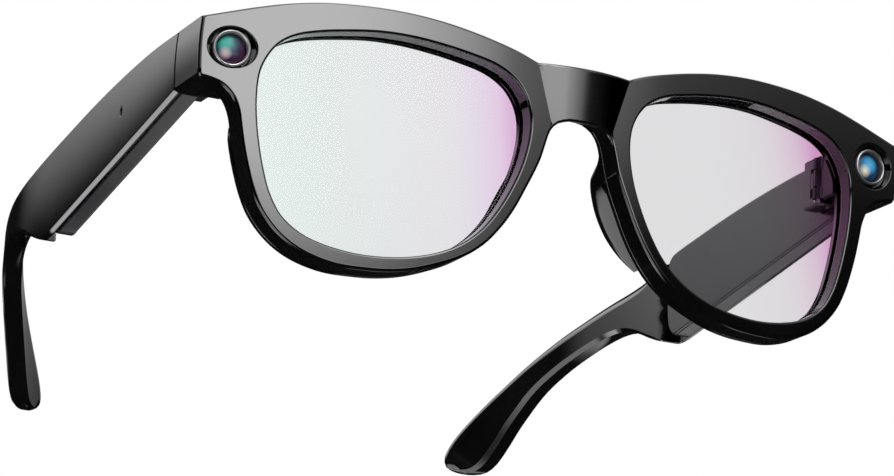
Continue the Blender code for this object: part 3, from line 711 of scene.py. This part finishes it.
def chamfer(base, width):
    """Levels of a flat chamfer whose two corners are slightly rounded."""
    steps = [(1.0, 0.0), (0.9, 0.04), (0.82, 0.13), (0.5, 0.5), (0.13, 0.82), (0.04, 0.9), (0.0, 1.0)]
    return [(scaled(width, a), base, scaled(width, b)) for a, b in steps]


def hook_edge(n=8):
    """The inner edge: small along the housing, a chamfer under the ear hook and a large round above it."""
    out = []
    for k in range(n + 1):
        angle = math.pi / 2 * k / n
        arc = (1 - math.sin(angle), 1 - math.cos(angle))
        flat = (1 - k / n, k / n)

        def width(u, v):
            return 0.15 + ease((u - 97) / 7) * (0.6 + 1.85 * upper(u, v) * ease((u - 97) / 14))

        def inset(u, v, a=arc[0], b=flat[0]):
            t = upper(u, v)
            return width(u, v) * (a * t + b * (1 - t))

        def shift(u, v, a=arc[1], b=flat[1]):
            t = upper(u, v)
            return width(u, v) * (a * t + b * (1 - t))

        out.append((inset, "b", shift))
    return out[::-1]


def crown(u, v):
    middle = (temple_top(u) + temple_bottom(min(u, 92))) / 2
    half = (temple_top(u) - temple_bottom(min(u, 92))) / 2
    return CROWN * ease((128 - u) / 28) * min(1.0, ((v - middle) / half) ** 2)


def cut_button_slot(cover):
    """The slot in the cover's top edge that the capture button moves in."""
    xs, ys, zs = BUTTON_SLOT
    points = [to_frame((x, y, z)) for x in xs for y in ys for z in zs]
    sides = [[0, 1, 3, 2], [4, 6, 7, 5], [0, 4, 5, 1], [2, 3, 7, 6], [0, 2, 6, 4], [1, 5, 7, 3]]
    mesh = bpy.data.meshes.new("slot")
    mesh.from_pydata(points, [], sides)
    bm = bmesh.new()
    bm.from_mesh(mesh)
    bmesh.ops.recalc_face_normals(bm, faces=bm.faces)
    bm.to_mesh(mesh)
    bm.free()
    cutter = bpy.data.objects.new("slot", mesh)
    bpy.context.scene.collection.objects.link(cutter)
    cutter.matrix_world = cover.matrix_world.copy()
    modifier = cover.modifiers.new("slot", "BOOLEAN")
    modifier.operation, modifier.solver, modifier.object = "DIFFERENCE", "EXACT", cutter
    bpy.context.view_layer.update()
    done = bpy.data.meshes.new_from_object(cover.evaluated_get(bpy.context.evaluated_depsgraph_get()))
    cover.modifiers.clear()
    cover.data = done
    bpy.data.objects.remove(cutter)
    if "custom_normal" in done.attributes:
        done.attributes.remove(done.attributes["custom_normal"])
    done.set_sharp_from_angle(angle=math.radians(32))


def make_temple(sign, side):
    body = "temple_" + side
    holes = []
    if side == "right":
        slot = [(52 + 0.6 * math.cos(a), 12.2 + 1.0 * math.sin(a)) for a in (math.tau * k / 24 for k in range(24))]
        holes = [(slot, [*rounding(0.18, "f", 3), (0, "b", 0)])]
    shell = plate("temple_outer_" + side, smooth(TEMPLE, 1.1),
                  chamfer("f", 0.74) + hook_edge(),
                  lambda u, v: -outer_x(u) + crown(u, v), lambda u, v: -outer_x(u) + thickness(u),
                  side_place(sign), body, BLACK, holes=holes, pitch=2.2)
    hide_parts("temple_shell_" + side)
    top = [(y, temple_top(y) - 0.05) for y in (22.5, 30, 38, 49, 60, 72, 84, 90)]
    end = [(93.6, temple_top(93.6) - 0.3), (94.8, temple_top(94.8) - 1.1), (95.2, temple_top(95.2) - 2.6),
           (95.2, 9.0), (94.8, 3.0), (93.8, -1.0), (91.4, -3.0)]
    low = [(88.0, temple_bottom(88) - 0.05, 1), (22.5, temple_bottom(22.5) - 0.05, 1)]
    outline = smooth([(*top[0], 1), *top[1:], *end, *low], 1.1)
    start = SPLIT_T + SPLIT_GAP
    place = side_place(sign)
    edge = [*rounding(0.5, "f", 4), (0, "f", 0.6), (0, "b", 0.25), *rounding(0.15, "b", 2)[::-1]]
    cover = plate("temple_inner_" + side, outline, edge,
                  lambda u, v: outer_x(u) - TEMPLE_T, lambda u, v: outer_x(u) - start,
                  lambda u, v, d: place(u, v, -d), body, INNER, pockets=[(shrink(ccw(outline), 1.2), 1.2)], pitch=2.2)
    if side == "right":
        cut_button_slot(cover)
    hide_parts("temple_cover_" + side)


# ---- carried-over nodes -----------------------------------------------------------------------------
FINISHES = {
    "camera_module": DARK, "endpiece_cap": INNER, "hinge_bracket": HINGE, "hinge_pin": STEEL, "hinge_leaf": INNER,
    "main_board": BOARD, "touch_board": BOARD, "battery": FOIL, "speaker": DARK, "microphone": BRASS,
    "capture_button": BLACK,
}


def finish_nodes():
    for name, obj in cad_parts.items():
        for start, material in FINISHES.items():
            if name.startswith(start):
                obj.data.materials.clear()
                obj.data.materials.append(material)


# ---- camera, studio ---------------------------------------------------------------------------------
# Position, angles, focal length and shift are from a least-squares fit to points read off the photo.
CAMERA_AT = to_frame((-315.21, -663.88, -207.16))
CAMERA_AZ, CAMERA_EL, CAMERA_ROLL = math.radians(-23.674), math.radians(-14.487), math.radians(3.344)
LENS_MM, SENSOR_MM = 165.8, 36
SHIFT = (-0.00965, 0.0213)


def make_camera():
    data = bpy.data.cameras.new("camera")
    data.lens = LENS_MM
    data.sensor_width = SENSOR_MM
    data.shift_x, data.shift_y = SHIFT
    data.clip_start, data.clip_end = 0.02, 50
    camera = bpy.data.objects.new("camera", data)
    bpy.context.scene.collection.objects.link(camera)
    level = math.cos(CAMERA_EL)
    view = Vector((-math.sin(CAMERA_AZ) * level, math.cos(CAMERA_AZ) * level, -math.sin(CAMERA_EL)))
    right = view.cross(Vector((0, 0, 1))).normalized()
    up = right.cross(view)
    turned_right = right * math.cos(CAMERA_ROLL) + up * math.sin(CAMERA_ROLL)
    above = turned_right.cross(view)
    basis = Matrix((turned_right, above, -view)).transposed()
    camera.matrix_world = Matrix.Translation(CAMERA_AT) @ basis.to_4x4()
    bpy.context.scene.camera = camera


def make_studio():
    """White surroundings for what is seen directly, and soft panels of light for the reflections."""
    world = bpy.data.worlds.new("studio")
    bpy.context.scene.world = world
    world.use_nodes = True
    tree = world.node_tree
    tree.nodes.clear()

    def maths(op, a, b=None):
        made = node(tree, "ShaderNodeMath", operation=op)
        for k, value in enumerate((a, b)):
            if value is None:
                continue
            if isinstance(value, (int, float)):
                made.inputs[k].default_value = value
            else:
                link(tree, value, made.inputs[k])
        return made.outputs[0]

    def step(value, low, high):
        made = node(tree, "ShaderNodeMapRange", interpolation_type="SMOOTHSTEP")
        made.inputs["From Min"].default_value, made.inputs["From Max"].default_value = low, high
        link(tree, value, made.inputs["Value"])
        return made.outputs["Result"]

    def band(value, a, b, c, d):
        return maths("MULTIPLY", step(value, a, b), maths("SUBTRACT", 1.0, step(value, c, d)))

    place = node(tree, "ShaderNodeTexCoord")
    split = node(tree, "ShaderNodeSeparateXYZ")
    link(tree, place.outputs["Generated"], split.inputs[0])
    x, y, z = split.outputs
    turn = maths("DEGREES", maths("ARCTAN2", x, maths("MULTIPLY", y, -1.0)))
    back = maths("DEGREES", maths("ARCTAN2", maths("MULTIPLY", x, -1.0), y))
    rise = maths("DEGREES", maths("ARCSINE", z))

    def profile(stops, most):
        """Strength against the angle round the front, through the given stops."""
        made = node(tree, "ShaderNodeFloatCurve")
        curve = made.mapping.curves[0]
        for k, point in ((0, stops[0]), (1, stops[-1])):
            curve.points[k].location = ((point[0] + 90) / 180, point[1] / most)
        for angle, value in stops[1:-1]:
            curve.points.new((angle + 90) / 180, value / most)
        made.mapping.update()
        link(tree, maths("DIVIDE", maths("ADD", turn, 90.0), 180.0), made.inputs["Value"])
        return maths("MULTIPLY", made.outputs[0], float(most))

    def product(first, *others):
        for other in others:
            first = maths("MULTIPLY", first, other)
        return first

    # Front panels: brightest straight ahead, weaker to the wearer's left, with a dark gap between them.
    # The stops follow the brightness that the photo's reflections need, scaled and adjusted.
    high = profile([(-60, 0.5), (-30, 2.5), (-12, 6.0), (-6, 11.5), (-2, 14.6), (2, 13.6), (6, 10.8),
                    (10, 8.4), (14, 5.3), (18, 2.7), (22, 2.3), (28, 3.2), (33, 2.5), (38, 1.2),
                    (45, 1.0), (52, 0.7), (75, 0.2)], 16)
    low = profile([(-60, 0.0), (-24, 0.0), (-12, 9.0), (3, 9.0), (8, 7.3), (12, 6.0), (16, 4.5),
                   (21, 2.7), (25, 0.9), (29, 0.24), (33, 0.1), (75, 0.0)], 10)
    edge = maths("SUBTRACT", rise, maths("MULTIPLY", turn, 0.035))
    edge_right = maths("SUBTRACT", edge, maths("MULTIPLY", step(turn, 38.0, 48.0), 0.1))
    fall = maths("MULTIPLY", rise, -1.0)
    front = product(high, band(edge_right, 12.9, 16.6, 60.0, 80.0), band(turn, -85, -60, 75, 95))
    lower = product(low, band(edge, -6, 1, 9, 11.5), band(turn, -85, -60, 60, 80))
    # The other panels: where they lie round the object, at what height, and how strong they are
    rear_left = product(band(back, 6, 20, 50, 65), step(rise, 12.0, 24.0), 2.6)
    rear_low = product(band(back, 22, 27, 50, 65), step(rise, 8.0, 17.0), 1.1)
    rear_right = product(band(back, -75, -60, -27, -21), step(rise, 6.0, 22.0), 0.9)
    top = product(step(rise, 45.0, 75.0), 2.2)
    overhead = product(band(back, -95, -75, -35, -15), band(rise, 40, 50, 66, 78), 7.0)
    under_left = product(band(back, 19, 25, 34, 44), band(fall, 22, 26, 36, 48), 5.0)
    under_right = product(band(back, -45, -33, -24.5, -20.9), band(fall, 22, 30, 40, 55), 1.3)
    side_left = product(band(back, 40, 50, 125, 140), band(fall, 12, 19, 50, 62), 3.6)
    faint = 0.012  # light from everywhere else
    total = maths("ADD", front, lower)
    for panel in (rear_left, rear_low, rear_right, top, overhead, side_left, under_left, under_right, faint):
        total = maths("ADD", total, panel)
    glossy = node(tree, "ShaderNodeBackground")
    link(tree, total, glossy.inputs["Strength"])
    plain = node(tree, "ShaderNodeBackground")
    plain.inputs["Color"].default_value = (1, 1, 1, 1)
    paths = node(tree, "ShaderNodeLightPath")
    mix = node(tree, "ShaderNodeMixShader")
    through_lens = paths.outputs["Is Transmission Ray"]
    mirrored_ray = product(paths.outputs["Is Glossy Ray"], maths("SUBTRACT", 1.0, through_lens))
    link(tree, mirrored_ray, mix.inputs[0])
    link(tree, plain.outputs[0], mix.inputs[1])
    link(tree, glossy.outputs[0], mix.inputs[2])
    link(tree, mix.outputs[0], node(tree, "ShaderNodeOutputWorld").inputs[0])

    floor = bpy.data.meshes.new("floor")
    corners = [(x * FLOOR_REACH, y * FLOOR_REACH, FLOOR_Z) for x, y in ((-1, -1), (1, -1), (1, 1), (-1, 1))]
    floor.from_pydata(corners, [], [[0, 1, 2, 3]])
    floor.materials.append(
        moulded("pale_floor", (0.82, 0.82, 0.82), (0.825, 0.825, 0.825), 0.7, 0.1, grain=60, bump=0.01))
    plane = bpy.data.objects.new("floor", floor)
    bpy.context.scene.collection.objects.link(plane)
    plane.visible_glossy = False
    data = bpy.data.lights.new("soft_light", "AREA")
    data.shape, data.size, data.size_y, data.energy = "RECTANGLE", 1.2, 1.2, 10
    lamp = bpy.data.objects.new("soft_light", data)
    lamp.location = (-0.5, -0.6, 1.3)
    lamp.rotation_euler = Vector((0.5, 0.6, -1.3)).to_track_quat("-Z", "Y").to_euler()
    lamp.visible_glossy = False
    bpy.context.scene.collection.objects.link(lamp)
    bpy.context.scene.view_settings.view_transform = "Standard"


make_front()
make_cover()
for SIGN, SIDE in ((-1, "right"), (1, "left")):
    make_optics(SIGN, SIDE)
    make_temple(SIGN, SIDE)
finish_nodes()
make_camera()
make_studio()
